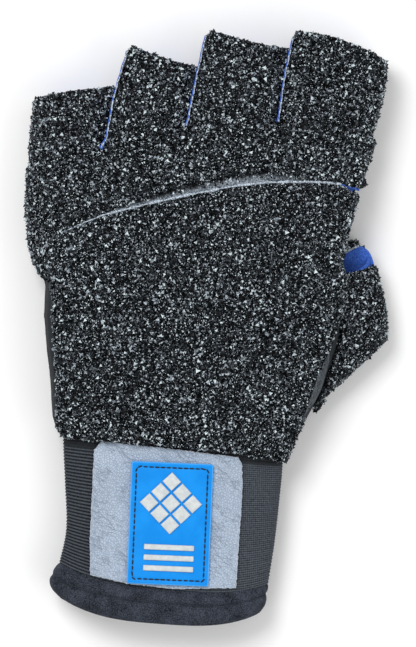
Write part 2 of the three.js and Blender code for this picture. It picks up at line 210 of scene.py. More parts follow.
def bridged(heights):  # what is missing is filled in from both sides
    seen = np.flatnonzero(~np.isnan(heights))
    return np.interp(np.arange(len(heights)), seen, heights[seen])


def smoothPath(points, step):  # a curve through the points, resampled at even steps
    p = np.asarray(points, dtype=float)
    p = np.vstack([2 * p[0] - p[1], p, 2 * p[-1] - p[-2]])
    t = np.linspace(0, 1, 24, endpoint=False)[:, None]
    dense = []
    for i in range(1, len(p) - 2):
        a, b, c, d = p[i - 1:i + 3]
        bend = (2 * a - 5 * b + 4 * c - d) * t ** 2 + (3 * b - a - 3 * c + d) * t ** 3
        dense.append(0.5 * (2 * b + (c - a) * t + bend))
    dense = np.vstack(dense + [p[-2:-1]])
    along = np.concatenate([[0], np.cumsum(np.linalg.norm(np.diff(dense, axis=0), axis=1))])
    places = np.linspace(0, along[-1], max(3, int(along[-1] / step) + 1))
    return np.column_stack([np.interp(places, along, dense[:, k]) for k in range(dense.shape[1])])


def curtain(name, plan, low, high, width, rounding=None):  # an upright strip, rounded at its top, in mm
    n = len(plan)
    soft = width if rounding is None else rounding
    along = np.gradient(plan, axis=0)
    along /= np.linalg.norm(along, axis=1)[:, None]
    side = np.column_stack([along[:, 1], -along[:, 0]])
    low, high, width, soft = (np.broadcast_to(v, n) for v in (low, high, width, soft))
    profile = [(-1, None), (-1, 0.5), (-0.7, 0.15), (0, 0.0), (0.7, 0.15), (1, 0.5), (1, None)]
    rings = []
    for across, drop in profile:
        xy = plan + side * (across * width / 2)[:, None]
        rings.append(np.column_stack([xy, low if drop is None else high - drop * soft]))
    m = len(profile)
    faces = [[j * n + i, j * n + i + 1, ((j + 1) % m) * n + i + 1, ((j + 1) % m) * n + i]
             for j in range(m) for i in range(n - 1)]
    faces += [[j * n for j in range(m)], [j * n + n - 1 for j in reversed(range(m))]]
    piece = newPiece(name, np.concatenate(rings) * mm, faces)
    faceOut(piece)
    return piece


def sidesOf(outline):  # each point of a closed outline with the next one
    return zip(outline, np.roll(outline, -1, axis=0))


def insideOf(points, outline):
    x, y = points.T
    inside = np.zeros(len(points), dtype=bool)
    for (ax, ay), (bx, by) in sidesOf(outline):
        if ay != by:
            inside ^= ((ay > y) != (by > y)) & (x < (bx - ax) * (y - ay) / (by - ay) + ax)
    return inside


def triangles(piece):
    return sum(len(f.vertices) - 2 for f in piece.data.polygons)


def handIn(piece, slot, finish, *nodes):
    if finish:
        piece.data.materials.clear()
        piece.data.materials.append(finish)
    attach(piece, "root")
    if nodes:
        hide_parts(*nodes)


# shader and geometry trees

class Wire:  # one socket of a tree, with maths on it
    def __init__(self, tree, socket=None):
        self.tree = tree
        self.socket = socket

    def node(self, kind, settings=None, sockets=None, out=0):
        made = self.tree.nodes.new(kind)
        for key, value in (settings or {}).items():
            if key == "stops":
                fillRamp(made.color_ramp, value)
            else:
                setattr(made, key, value)
        for key, value in (sockets or {}).items():
            self.feed(made.inputs[key], value)
        return Wire(self.tree, made.outputs[out])

    def feed(self, socket, value):
        if isinstance(value, Wire):
            self.tree.links.new(value.socket, socket)
        else:
            socket.default_value = value

    def math(self, operation, first, second=0.0):
        return self.node("ShaderNodeMath", {"operation": operation}, {0: first, 1: second})

    def __add__(self, other):
        return self.math("ADD", self, other)

    def __sub__(self, other):
        return self.math("SUBTRACT", self, other)

    def __rsub__(self, other):
        return self.math("SUBTRACT", other, self)

    def __mul__(self, other):
        return self.math("MULTIPLY", self, other)

    def __truediv__(self, other):
        return self.math("DIVIDE", self, other)

    def __pow__(self, other):
        return self.math("POWER", self, other)

    __radd__ = __add__
    __rmul__ = __mul__

    def wave(self, pitch):  # 0 in a groove, 1 on a ridge
        return self.math("ABSOLUTE", self.math("SINE", self / pitch * math.pi))

    def between(self, low, high):  # 0 at low, 1 at high, eased
        settings = {"interpolation_type": "SMOOTHSTEP", "clamp": True}
        return self.node("ShaderNodeMapRange", settings, {"Value": self, "From Min": low, "From Max": high})

    def mix(self, first, second):  # a colour, by this factor
        inputs = {0: self, 6: first, 7: second}
        return self.node("ShaderNodeMix", {"data_type": "RGBA", "clamp_factor": True}, inputs, out=2)

    def ramp(self, *stops):
        return self.node("ShaderNodeValToRGB", {"stops": stops}, {"Fac": self})

    def stretch(self, *scale):
        return self.node("ShaderNodeMapping", {}, {"Vector": self, "Scale": scale})

    def slant(self, turn, longer):  # what is laid out here runs along a turned direction
        sockets = {"Vector": self, "Rotation": (0, 0, turn), "Scale": (1, longer, 1)}
        return self.node("ShaderNodeMapping", {"vector_type": "TEXTURE"}, sockets)

    def part(self, axis):
        return self.node("ShaderNodeSeparateXYZ", {}, {0: self}, out=axis)

    def noise(self, size, detail=2.0, roughness=0.5):  # about 0 to 1, size in metres, on this position
        sockets = {"Vector": self, "Scale": 1 / size, "Detail": detail, "Roughness": roughness}
        return self.node("ShaderNodeTexNoise", {}, sockets, out="Fac")

    def cells(self, size, feature="F1", out="Distance"):
        sockets = {"Vector": self, "Scale": 1 / size}
        return self.node("ShaderNodeTexVoronoi", {"feature": feature}, sockets, out)

    def bump(self, distance, strength=1.0):
        sockets = {"Strength": strength, "Distance": distance, "Height": self}
        return self.node("ShaderNodeBump", {}, sockets, out="Normal")

    def stored(self, name):
        return self.node("ShaderNodeAttribute", {"attribute_name": name}, {}, out="Fac")


def fillRamp(ramp, stops):
    while len(ramp.elements) > len(stops):
        ramp.elements.remove(ramp.elements[-1])
    while len(ramp.elements) < len(stops):
        ramp.elements.new(0.5)
    for element, (place, colour) in zip(ramp.elements, stops):
        element.position = place
        element.color = colour


def finishOf(name, paint, **constants):  # paint(wire, position) gives what varies over the surface
    material = bpy.data.materials.new(name)
    material.use_nodes = True
    shader = material.node_tree.nodes["Principled BSDF"]
    wire = Wire(material.node_tree)
    for key, value in constants.items():
        shader.inputs[key.replace("_", " ")].default_value = value
    position = wire.node("ShaderNodeTexCoord", out="Object")
    for key, value in paint(wire, position).items():
        wire.feed(shader.inputs[key], value)
    return material


class Recipe:  # a geometry tree with named inputs, run as a modifier and applied
    def __init__(self, name, **inputs):
        self.tree = bpy.data.node_groups.new(name, "GeometryNodeTree")
        kinds = {"float": "NodeSocketFloat", "int": "NodeSocketInt", "material": "NodeSocketMaterial"}
        self.addSocket("Geometry", "NodeSocketGeometry", "INPUT")
        for key, kind in inputs.items():
            self.addSocket(key, kinds[kind], "INPUT")
        self.addSocket("Geometry", "NodeSocketGeometry", "OUTPUT")
        self.start = self.tree.nodes.new("NodeGroupInput")
        self.wire = Wire(self.tree)

    def addSocket(self, name, kind, way):
        self.tree.interface.new_socket(name, in_out=way, socket_type=kind)

    def given(self, name):
        return Wire(self.tree, self.start.outputs[name])

    def node(self, kind, settings=None, sockets=None, out=0):
        return self.wire.node(kind, settings, sockets, out)

    def stored(self, name):
        return self.node("GeometryNodeInputNamedAttribute", {"data_type": "FLOAT"}, {"Name": name})

    def chance(self, low, high, seed):
        sockets = {2: low, 3: high, "Seed": seed}
        return self.node("FunctionNodeRandomValue", {"data_type": "FLOAT"}, sockets, out=1)

    def chances(self, low, high, seed):  # a vector
        sockets = {0: (low,) * 3, 1: (high,) * 3, "Seed": seed}
        return self.node("FunctionNodeRandomValue", {"data_type": "FLOAT_VECTOR"}, sockets)

    def close(self, placed, smooth):  # realised, shaded and given its finish
        real = self.node("GeometryNodeRealizeInstances", {}, {"Geometry": placed})
        shade = self.node("GeometryNodeSetShadeSmooth", {}, {"Geometry": real, "Shade Smooth": smooth})
        sockets = {"Geometry": shade, "Material": self.given("Finish")}
        done = self.node("GeometryNodeSetMaterial", {}, sockets)
        end = self.tree.nodes.new("NodeGroupOutput")
        self.tree.links.new(done.socket, end.inputs["Geometry"])
        return self

    def run(self, piece, **values):
        sockets = [item for item in self.tree.interface.items_tree if item.in_out == "INPUT"]
        names = {item.name: item.identifier for item in sockets}
        modifier = piece.modifiers.new(self.tree.name, "NODES")
        modifier.node_group = self.tree
        for key, value in values.items():
            modifier[names[key]] = value
        return settle(piece)


# camera, floor and light

view = {
    "distance": 2.2,
    "centre": (0.0004, 0.0012),
    "height": 0.014,  # of the layer that the scale below holds for
    "pixel": 0.400 * mm,
    "rows": 647,  # pixels from top to bottom
    "sensor": 36,
    "far": 20,
    "lamps": [  # name, place, size, power
        ("keyLight", (-0.4, 0.5, 1.15), 0.6, 9.5),
        ("fillLight", (0.8, -0.5, 0.9), 0.9, 4.0),
    ],
    "sky": 0.62,
    "floor": 3,  # how far it reaches to each side
    "paper": 0.95,
}


def setStage(s):
    scene = bpy.context.scene
    scene.view_settings.view_transform = "Standard"
    camera = bpy.data.objects.new("camera", bpy.data.cameras.new("camera"))
    scene.collection.objects.link(camera)
    camera.location = (*s["centre"], s["distance"])
    camera.data.sensor_width = s["sensor"]
    camera.data.lens = s["sensor"] * (s["distance"] - s["height"]) / (s["rows"] * s["pixel"])
    camera.data.clip_end = s["far"]
    scene.camera = camera
    for name, place, size, power in s["lamps"]:
        lamp = bpy.data.objects.new(name, bpy.data.lights.new(name, "AREA"))
        scene.collection.objects.link(lamp)
        lamp.location = place
        lamp.rotation_euler = (-Vector(place)).to_track_quat("-Z", "Y").to_euler()
        lamp.data.size = size
        lamp.data.energy = power
    world = bpy.data.worlds.new("studio")
    world.use_nodes = True
    world.node_tree.nodes["Background"].inputs["Color"].default_value = (1, 1, 1, 1)
    world.node_tree.nodes["Background"].inputs["Strength"].default_value = s["sky"]
    scene.world = world
    corners = [(x * s["floor"], y * s["floor"], 0) for x, y in ((-1, -1), (1, -1), (1, 1), (-1, 1))]
    floor = newPiece("floor", corners, [(0, 1, 2, 3)])
    paper = (s["paper"],) * 3 + (1,)
    floor.data.materials.append(finishOf("floorPaper", lambda w, p: {"Base Color": paper}, Roughness=0.9))


setStage(view)
print("camera, floor and lights set")


# granulated rubber

crumb = {
    "density": 5.3,  # grains for each square millimetre
    "apart": 0.28 * mm,
    "small": 0.38 * mm,
    "large": 1.4 * mm,
    "shapes": [0.55, 0.7, 0.85, 1.0, 1.2],  # how tall a shard is, in parts of its size
    "foot": 0.62,  # half a shard's width, likewise
    "uneven": 0.24,  # how far a grain's corners stray, likewise
    "firstShape": 40,  # the seed of the first shape
}
panels = {  # node, grid in mm, rounds of easing, share of the grains, depth in mm with none, seed
    "fingerPanelTop": ("finger_panel_top", 1.05, 13, 1.0, 1.3, 3),
    "fingerPanelUnder": ("finger_panel_under", 1.3, 10, 0.42, 1.3, 5),
    "backPad": ("back_pad", 1.05, 13, 0.98, 0.3, 7),
    "thumbPanel": ("thumb_panel", 1.0, 12, 1.0, 1.2, 11),
}
outerDepth = 3.0  # past this many millimetres from the inner skin it is all rubber
panelRipple = {"ripple": 0.35 * mm, "rippleSize": 9 * mm}
knuckleArc = {"x": 35, "y": 57.6 - 218, "r": 218}
arcSag = {  # how much lower than a true arc the edge hangs, and how far from it that fades out
    "x": [-41, -32, -27, -17, 2, 7, 16, 26, 61],
    "y": [0, -0.8, -1.2, -1.6, -1.5, -1.0, -0.8, -0.5, -0.4],
    "reach": 9,
}
crescent = {"from": -46, "to": 40, "peak": 22, "width": 3.8, "worn": 0.95}
slits = {  # paths from the crotch to the tip, and how low their edges reach
    "ring": {"path": [(-42.3, 70.8), (-41, 73.4), (-39.9, 76.8), (-37, 92.4), (-32, 109.8)], "low": 9},
    "middle": {"path": [(-8.4, 79.8), (-7.2, 85), (-4.7, 98), (-0.8, 115.8)], "low": 10},
    "index": {"path": [(28.2, 81.4), (28.8, 86), (30.5, 98), (34, 114.8)], "low": 11},
}
lips = {  # ridges of rubber that close the valleys beside a slit: shift, width, where the height is read
    "left": (-1.85, 2.6, -3.7), "right": (2.05, 2.0, 3.7),
    "step": 0.45, "deep": 4, "under": 0.3, "rounding": 0.5,
}
fillings = {  # more ridges, where a gap would show: path, where the height is read, width
    "fingerPanelTop": [
        ([(44, 59.2), (50, 58.5), (55, 57.7), (60, 57.0), (63.4, 58.0)], (-1.5, 3.0), 2.6),
        ([(-69.6, 30.1), (-66, 31.8), (-60, 34.9), (-56, 36.9)], (0.4, 3.4), 2.6),
    ],
    "thumbPanel": [
        ([(53.3, 4.0), (53.0, -1.6), (51.9, -5.7), (50.4, -9.8), (49.3, -13.9), (48.0, -18), (46.7, -22),
          (45.4, -26.1), (44.0, -30.2)], (2.6, 0), 3.0),
        ([(46.8, -29.2), (44.6, -31.2), (43.0, -33.2)], (1.8, 2.4), 2.2),
    ],
}
crotch = {"before": 3.4, "after": 0.2, "width": 3.6, "sunk": 0.35, "steps": 8}
padDents = {  # where the pad gives way to the thumb's opening, and its corner at the index finger
    "side": (51.5, 54.5), "middle": 25.5, "half": 7.5, "depth": 2.0,
    "cornerX": (52, 58), "cornerY": (42, 52), "lower": 1.9,
}
sideStrip = {  # smooth tape over the joint of pad and thumb piece
    "corners": [
        (49.0, -9.6), (46.6, -13.9), (44.7, -18.0), (43.3, -22.0), (42.0, -26.1), (40.6, -30.2),
        (39.4, -33.5), (38.2, -36.2), (37.6, -38.0), (38.2, -37.6), (39.4, -35.8), (41.0, -33.0),
        (43.2, -30.0), (45.3, -26.1), (46.6, -22.0), (47.6, -18.0), (48.7, -13.9),
    ],
    "step": 0.5, "low": -0.8, "high": 0.5, "rim": [(0.3, 0), (0.05, 0.15), (0, 0.5)],
}
thumbRim = {  # the far rim of the thumb's open end
    "path": [(53.0, 30.6), (54.8, 32.0), (57.6, 32.7), (60.6, 32.9)],
    "step": 0.5, "low": 0.1, "high": 11.3, "width": 2.4, "rounding": 0.8,
}


def grainRecipe(s):
    recipe = Recipe("grains", Density="float", Seed="int", Finish="material")
    seed = recipe.given("Seed")
    points = recipe.node("GeometryNodeDistributePointsOnFaces", {"distribute_method": "POISSON"}, {
        "Mesh": recipe.given("Geometry"),
        "Distance Min": s["apart"],
        "Density Max": recipe.given("Density"),
        "Density Factor": recipe.stored("grit"),
        "Seed": seed,
    })
    chips = recipe.tree.nodes.new("GeometryNodeJoinGeometry")
    for k, tall in enumerate(s["shapes"]):
        shard = recipe.node("GeometryNodeMeshCone", {}, {
            "Vertices": 3, "Radius Top": 0.0, "Radius Bottom": s["foot"], "Depth": tall,
        })
        stray = recipe.chances(-s["uneven"], s["uneven"], s["firstShape"] + k)
        chip = recipe.node("GeometryNodeSetPosition", {}, {"Geometry": shard, "Offset": stray})
        single = recipe.node("GeometryNodeGeometryToInstance", {}, {0: chip})
        recipe.tree.links.new(single.socket, chips.inputs[0])
    size = recipe.chance(0.0, 1.0, seed + 1)
    placed = recipe.node("GeometryNodeInstanceOnPoints", {}, {
        "Points": points, "Instance": Wire(recipe.tree, chips.outputs[0]), "Pick Instance": True,
        "Rotation": recipe.chances(0.0, 2 * math.pi, seed + 2),
        "Scale": s["small"] + (s["large"] - s["small"]) * (size * size * size * size),
    })
    toned = recipe.node("GeometryNodeStoreNamedAttribute", {"data_type": "FLOAT", "domain": "INSTANCE"},
                        {"Geometry": placed, "Name": "tone", "Value": recipe.chance(0.0, 1.0, seed + 3)})
    return recipe.close(toned, False)


def grey(amount, tint=(0.87, 1.0, 1.15)):  # a slightly blue grey
    return (*(min(1.0, amount * part) for part in tint), 1.0)


def paintGrain(wire, position):
    # The lightest grain tones and the fine flecks are partly light grey chips and dust, and partly painted
    # glints: the grains have almost no specular of their own.
    fleckAndGlint = position.noise(0.28 * mm, 2, 0.6)
    tone = 0.85 * wire.stored("tone") + (fleckAndGlint - 0.42) * 1.1
    stops = ((0.0, 0.001), (0.25, 0.003), (0.45, 0.018), (0.66, 0.09), (0.82, 0.46), (1.0, 1.0))
    colour = tone.ramp(*((place, grey(amount)) for place, amount in stops))
    return {"Base Color": colour, "Roughness": 0.3 + 0.3 * fleckAndGlint}


def paintCrumbBed(wire, position):
    speck = position.noise(0.6 * mm, 3, 0.7)
    granule = position.cells(0.6 * mm, out="Color").part(0)
    rubber = granule.ramp((0.0, grey(0.0008)), (0.55, grey(0.003)), (0.85, grey(0.02)), (1.0, grey(0.07)))
    worn = speck.between(0.35, 0.68).mix(grey(0.06), grey(0.5))
    foam = speck.mix(grey(0.17), grey(0.62))
    skin = wire.stored("bald").between(0.1, 1.0).mix(rubber, worn)
    isFoam = (wire.stored("depth") + (speck - 0.5) * 0.4).between(1.25, 0.95)
    return {"Base Color": isFoam.mix(skin, foam), "Normal": speck.bump(0.5 * mm)}


def arcOver(points):  # how far each point lies beyond the knuckle arc, in millimetres
    arc = knuckleArc
    return np.hypot(points[:, 0] / mm - arc["x"], points[:, 1] / mm - arc["y"]) - arc["r"]


def sagArc(mesh):
    points = getPoints(mesh)
    near = np.clip(1 - np.abs(arcOver(points)) / arcSag["reach"], 0, 1)
    sag = np.interp(points[:, 0] / mm, arcSag["x"], arcSag["y"]) * eased(near)
    points[:, 1] += sag * mm
    setPoints(mesh, points)


def balding(points):  # the worn crescent on the finger panel, along the pad's arched edge
    c, x, over = crescent, points[:, 0] / mm, arcOver(points)
    share = np.minimum(rise(x, c["from"], c["peak"]), rise(x, c["to"], c["peak"]))
    width = c["width"] * share ** 0.6
    return np.clip(1.25 - over / np.maximum(width, 0.05), 0, 1) * (over > -2)


def ridgeOfRubber(plan, high, width):
    return curtain("ridge", plan, high - lips["deep"], high, width, lips["rounding"])


def slitLips(bed):  # one ridge for each side of each slit, as far as the finger beside it goes
    surface = surfaceOf(bed.data)
    ridges = []
    for name, s in slits.items():
        path = smoothPath(s["path"], lips["step"])
        s["top"] = np.zeros(len(path))
        for side in ("left", "right"):
            shift, width, reach = lips[side]
            height = heightsUnder(surface, path + (reach, 0))
            ends = np.flatnonzero(np.isnan(height))
            n = ends[0] if len(ends) else len(height)
            height = evened(height[:n])
            s["top"][:n] = np.maximum(s["top"][:n], height)
            plan = path[:n] + (shift, 0)
            high = height - lips["under"]
            ridges.append(ridgeOfRubber(plan, high, width))
        away = (path[0] - path[2]) / np.linalg.norm(path[0] - path[2])
        plan = path[0] + away * np.linspace(-crotch["after"], crotch["before"], crotch["steps"])[:, None]
        ridges.append(ridgeOfRubber(plan, s["top"][0] - crotch["sunk"], crotch["width"]))
    return ridges


def fillGaps(bed, name):
    surface = surfaceOf(bed.data)
    ridges = []
    for path, reach, width in fillings.get(name, []):
        plan = smoothPath(path, lips["step"])
        high = bridged(heightsUnder(surface, plan + reach)) - lips["under"]
        ridges.append(ridgeOfRubber(plan, high, width))
    return ridges


def dentPad(bed):
    d = padDents
    points = getPoints(bed.data)
    near = np.clip(1 - np.abs(points[:, 1] / mm - d["middle"]) / d["half"], 0, 1)
    points[:, 0] -= d["depth"] * mm * rise(points[:, 0] / mm, *d["side"]) * eased(near)
    corner = rise(points[:, 0] / mm, *d["cornerX"]) * rise(points[:, 1] / mm, *d["cornerY"])
    points[:, 1] -= d["lower"] * mm * corner
    setPoints(bed.data, points)


def thumbRimRidge():
    t = thumbRim
    return curtain("rim", smoothPath(t["path"], t["step"]), t["low"], t["high"], t["width"], t["rounding"])


def makeCrumbPanels():
    innerSkin = surfaceOf(*solids("finger_lining", "hand_shell", "thumb_lining"))
    recipe = grainRecipe(crumb)
    grainFinish = finishOf("rubberGrain", paintGrain, Specular_IOR_Level=0.05)
    bedFinish = finishOf("rubberBed", paintCrumbBed, Roughness=0.85, Specular_IOR_Level=0.03)
    for name, (node, grid, rounds, thick, bare, seed) in panels.items():
        bed = softCopy(name, node, {"grid": grid * mm, "rounds": rounds, "seed": seed, **panelRipple})
        points = getPoints(bed.data)
        depth = np.array([innerSkin.find_nearest(p)[3] for p in points]) / mm
        bald = balding(points) if name == "fingerPanelTop" else np.zeros(len(points))
        grit = rise(depth, bare, bare + 0.5) * (1 - crescent["worn"] * bald)
        grit[insideOf(points[:, :2] / mm, sideStrip["corners"])] = 0
        ridges = fillGaps(bed, name)
        if name == "fingerPanelTop":
            ridges += slitLips(bed)
        if name == "thumbPanel":
            ridges.append(thumbRimRidge())
        if name in ("backPad", "thumbPanel"):
            depth += outerDepth  # their cut edges are as dark as the rest
        if name == "backPad":
            dentPad(bed)
        if ridges:
            bed = joined(name, [bed] + ridges)
        if name in ("backPad", "fingerPanelTop"):
            sagArc(bed.data)
        more = len(bed.data.vertices) - len(points)
        store(bed.data, "depth", np.append(depth, np.full(more, outerDepth)))
        store(bed.data, "bald", np.append(bald, np.zeros(more)))
        store(bed.data, "grit", np.append(grit, np.ones(more)))
        grains = bpy.data.objects.new(name + "Grains", bed.data.copy())
        bpy.context.scene.collection.objects.link(grains)
        recipe.run(grains, Density=crumb["density"] * thick / mm ** 2, Seed=seed, Finish=grainFinish)
        pressFlat(bed)
        pressFlat(grains)
        handIn(bed, "crumb_rubber", bedFinish, node)
        handIn(grains, "crumb_rubber", None)
        print(name, "has", triangles(bed), "triangles and", triangles(grains), "of grains")


makeCrumbPanels()


# stretch fabric, blue lining and its edges in the slits between the fingers

fabric = {"grid": 0.75 * mm, "rounds": 24, "keep": 0.16, "ripple": 0.5 * mm, "rippleSize": 13 * mm, "seed": 2}
linings = {
    "fingerLining": {"node": "finger_lining", "grid": 0.75 * mm, "rounds": 24, "keep": 0.16,
                     "ripple": 0.3 * mm, "rippleSize": 7 * mm, "seed": 4},
    "thumbLining": {"node": "thumb_lining", "grid": 0.6 * mm, "rounds": 20, "keep": 0.35,
                    "ripple": 0.3 * mm, "rippleSize": 5 * mm, "seed": 6},
}
edging = {
    "blueWidth": 0.52, "above": 0.6, "stray": 0.2, "rough": 0.3,
    "foamWidth": 0.44, "foamShift": 0.3, "foamAbove": 0.8, "foamStray": 0.3, "foamRough": 1.1,
    "bulge": 0.9, "fatter": {"ring": 2.0, "middle": 0.9, "index": 0.9}, "bulgeShare": 0.07,  # at the crotch
}


def paintFabric(wire, position):
    knit = position.stretch(1, 0.55, 1).noise(0.55 * mm, 3, 0.7)
    broad = position.noise(14 * mm, 3)
    colour = (0.6 * knit + 0.4 * broad).mix(grey(0.012), grey(0.042))
    return {"Base Color": colour, "Normal": knit.bump(0.25 * mm, 0.6), "Roughness": 0.72 + 0.15 * knit}


def paintLining(wire, position):
    fleece = position.noise(0.7 * mm, 4, 0.75)
    tuft = position.cells(1.1 * mm)
    colour = fleece.between(0.3, 0.72).mix((0.022, 0.073, 0.36, 1), (0.078, 0.195, 0.7, 1))
    return {"Base Color": colour, "Normal": (0.6 * fleece + 0.4 * tuft).bump(0.35 * mm, 0.8)}


def paintFoam(wire, position):
    speck = position.noise(0.55 * mm, 3, 0.75)
    colour = speck.ramp((0.3, grey(0.02)), (0.42, grey(0.2)), (0.52, grey(0.5)), (0.64, grey(0.85)))
    return {"Base Color": colour, "Normal": speck.bump(0.3 * mm, 0.8)}


def makeFabrics():
    cloth = finishOf("stretchFabric", paintFabric, Specular_IOR_Level=0.15)
    handIn(softCopy("handFabric", "hand_shell", fabric), "fabric", cloth, "hand_shell")
    blue = finishOf("liningFleece", paintLining, Roughness=0.9, Specular_IOR_Level=0.15)
    foam = finishOf("foamEdge", paintFoam, Roughness=0.9, Specular_IOR_Level=0.15)
    for name, s in linings.items():
        handIn(softCopy(name, s["node"], s), "lining", blue, s["node"])
    e = edging
    for k, (name, s) in enumerate(slits.items()):
        plan = smoothPath(s["path"], lips["step"])
        share = np.linspace(0, 1, len(plan))
        places = share * len(plan) * lips["step"]
        sway = np.column_stack([lineNoise(places, 3, k + 1) * e["stray"], 0 * share])
        bulge = np.exp(-(share / e["bulgeShare"]) ** 2)
        top = s["top"] + e["above"] + e["bulge"] * bulge
        fat = 1 + e["fatter"][name] * bulge
        high = top + lineNoise(places, 2.2, k + 5) * e["rough"]
        strip = curtain(name + "EdgeLining", plan + sway, s["low"], high, e["blueWidth"] * fat)
        handIn(strip, "lining", blue, name + "_edge_lining")
        frayed = np.maximum(0.1, e["foamWidth"] * (1 + 1.5 * lineNoise(places, 1.1, k + 9)))
        high = top + e["foamAbove"] + lineNoise(places, 1.6, k + 13) * e["foamRough"]
        stray = np.column_stack([lineNoise(places, 2.0, k + 17) * e["foamStray"], 0 * share])
        beside = plan + sway / 2 + stray + (e["foamShift"], 0)
        handIn(curtain(name + "EdgeFoam", beside, s["low"], high, frayed), "lining", foam)
    return blue, foam


blueFinish, foamFinish = makeFabrics()
print("fabric, linings and slit edges made")


# the light strip of backing that shows along the pad's arched edge

padEdge = {
    "from": 60.9, "to": -58, "step": 0.6, "out": 0.32, "inward": 1.6, "sink": 0.15, "deep": 2.2,
    "width": 1.0, "narrow": (-62, -32),  # it is narrower up to there
    "wedgeFrom": 53.6, "wedge": (0.3, 1.9), "wedgeBelow": (0.35, 1.2),  # where blue lining shows below it
}


def makePadEdge(s):
    x = np.arange(s["to"], s["from"], s["step"])
    angle = np.arccos((x - knuckleArc["x"]) / knuckleArc["r"])
    spoke = np.column_stack([np.cos(angle), np.sin(angle)])
    radius = knuckleArc["r"] + s["out"] + 0.12 * lineNoise(x, 4, 3)
    plan = spoke * radius[:, None] + (knuckleArc["x"], knuckleArc["y"])
    plan[:, 1] += np.interp(x, arcSag["x"], arcSag["y"])
    height = bridged(heightsUnder(surfaceOf(*solids("back_pad")), plan - s["inward"] * spoke))
    wide = s["width"] * (1 + 0.9 * lineNoise(x, 1.3, 8)) * np.maximum(rise(x, *s["narrow"]), 0.5)
    high = height - s["sink"] + 0.6 * lineNoise(x, 1.2, 12)
    handIn(curtain("padEdgeFoam", plan, high - s["deep"], high, wide), "lining", foamFinish)
    share = rise(x, s["wedgeFrom"], s["from"])
    below = plan - np.column_stack([0 * x, np.interp(share, (0, 1), s["wedgeBelow"])])
    wide = np.interp(share, (0, 1), s["wedge"])
    blue = share > 0
    low, high = height[blue] - s["deep"], height[blue] - 0.2
    handIn(curtain("padEdgeLining", below[blue], low, high, wide[blue]), "lining", blueFinish)


makePadEdge(padEdge)
print("pad edge made")


# the cuff: elastic and hem

roundness = 2.7  # of a section, a superellipse
flatBelly = 1.07
sectionSteps = 3000  # of the fine section that the even one is taken from
cuffRows = [  # left point, right point, height of the folds, of the top, of the belly, bow
    (-57.4, -37.0, 30.4, -45.0, 12.5, 23.4, 3.6, 0),
    (-57.4, -48.0, 30.2, -56.0, 12.5, 23.6, 3.2, -0.4),
    (-56.8, -62.0, 29.0, -69.0, 12.0, 23.6, 2.4, -1.6),
    (-56.4, -82.0, 26.8, -88.0, 12.0, 23.4, 2.0, -3.6),
    (-59.0, -94.4, 24.4, -103.0, 12.0, 23.8, 1.6, -6.0),
]
hemRows = [
    (-54.8, -89.0, 22.0, -95.2, 12.0, 20.8, 4.4, -4.3),
    (-56.4, -95.6, 21.8, -103.4, 12.0, 21.2, 4.2, -5.4),
    (-62.0, -99.6, 23.6, -107.2, 12.5, 25.4, 0.2, -6.6),
    (-61.8, -104.6, 23.2, -111.4, 12.5, 25.8, 0.0, -6.8),
    (-57.8, -109.0, 20.8, -114.8, 12.5, 24.2, 1.4, -6.6),
]
elastic = {
    "sides": 160, "step": 0.25, "end": 0.2, "thick": 1.8, "pitch": 1.25, "rib": 0.42, "weave": 0.8,
    "tape": (46.6, 47.8),  # above this distance from its lower end the colour is plain and darker: the seam's band, with painted shade under the pad's edge
    "soft": 0.35, "softFrom": (-12, 8), "patchy": 0.25, "patchSize": 8 * mm,  # where the ribs are lower
    "ribbed": (-10 * mm, 8 * mm),  # left of it ribs show, right of it the weave
}
hem = {
    "sides": 180, "step": 0.3, "end": 0.3, "thick": 2.6,
    "seam": 8.6, "seamWidth": 0.55, "groove": 0.18,  # the seam's distance from the lower end, its depth
    "puff": 0.2, "fill": 2.2, "swell": (9.2, 14.6),  # the roll below it, and how it swells up to the elastic
    "gather": 0.4, "gatherSize": 4.5 * mm, "ripple": 0.2, "rippleSize": 9 * mm,
    "stitch": {"pitch": 2.7, "length": 1.9, "thread": 0.42},
}


def tubePlaces(rows):  # how far each row lies along the tube
    rows = np.asarray(rows, dtype=float)
    centres = (rows[:, 0:2] + rows[:, 2:4]) / 2
    return np.concatenate([[0], np.cumsum(np.linalg.norm(np.diff(centres, axis=0), axis=1))])


def rowAt(rows, places):  # rows between the given ones, smoothly
    rows = np.asarray(rows, dtype=float)
    along = tubePlaces(rows)
    slopes = np.gradient(rows, along, axis=0)
    k = np.clip(np.searchsorted(along, places, "right") - 1, 0, len(rows) - 2)
    gap = (along[k + 1] - along[k])[:, None]
    t = (places - along[k])[:, None] / gap
    return ((2 * t ** 3 - 3 * t ** 2 + 1) * rows[k] + (t ** 3 - 2 * t ** 2 + t) * gap * slopes[k]
            + (3 * t ** 2 - 2 * t ** 3) * rows[k + 1] + (t ** 3 - t ** 2) * gap * slopes[k + 1])


def ringOf(row, offset, sides):
    xl, yl, xr, yr, edge, top, belly, bow = row
    angle = np.linspace(0, 2 * np.pi, sectionSteps, endpoint=False)
    cos, sin = np.cos(angle), np.sin(angle)
    t = np.sign(cos) * np.abs(cos) ** (2 / roundness)
    bulge = np.abs(sin) ** (2 / roundness)
    full = np.where(sin >= 0, bulge, np.minimum(1, bulge * flatBelly))
    width = math.hypot(xr - xl, yr - yl)
    height = edge + (np.where(sin >= 0, top, belly) - edge) * full
    flat = np.column_stack([(t + 1) / 2 * width, height])
    closed = np.vstack([flat, flat[:1]])
    length = np.concatenate([[0], np.cumsum(np.linalg.norm(np.diff(closed, axis=0), axis=1))])
    places = np.linspace(0, length[-1], sides, endpoint=False)
    even = np.column_stack([np.interp(places, length, side) for side in closed.T])
    share = np.interp(places, length, np.append(t, t[0]))
    step = np.roll(even, -1, axis=0) - np.roll(even, 1, axis=0)
    outward = np.column_stack([step[:, 1], -step[:, 0]]) / np.linalg.norm(step, axis=1)[:, None]
    x, z = (even + outward * offset).T
    forward = bow * (1 - np.abs(share) ** 3)
    return np.column_stack([xl + (xr - xl) / width * x, yl + (yr - yl) / width * x + forward, z])


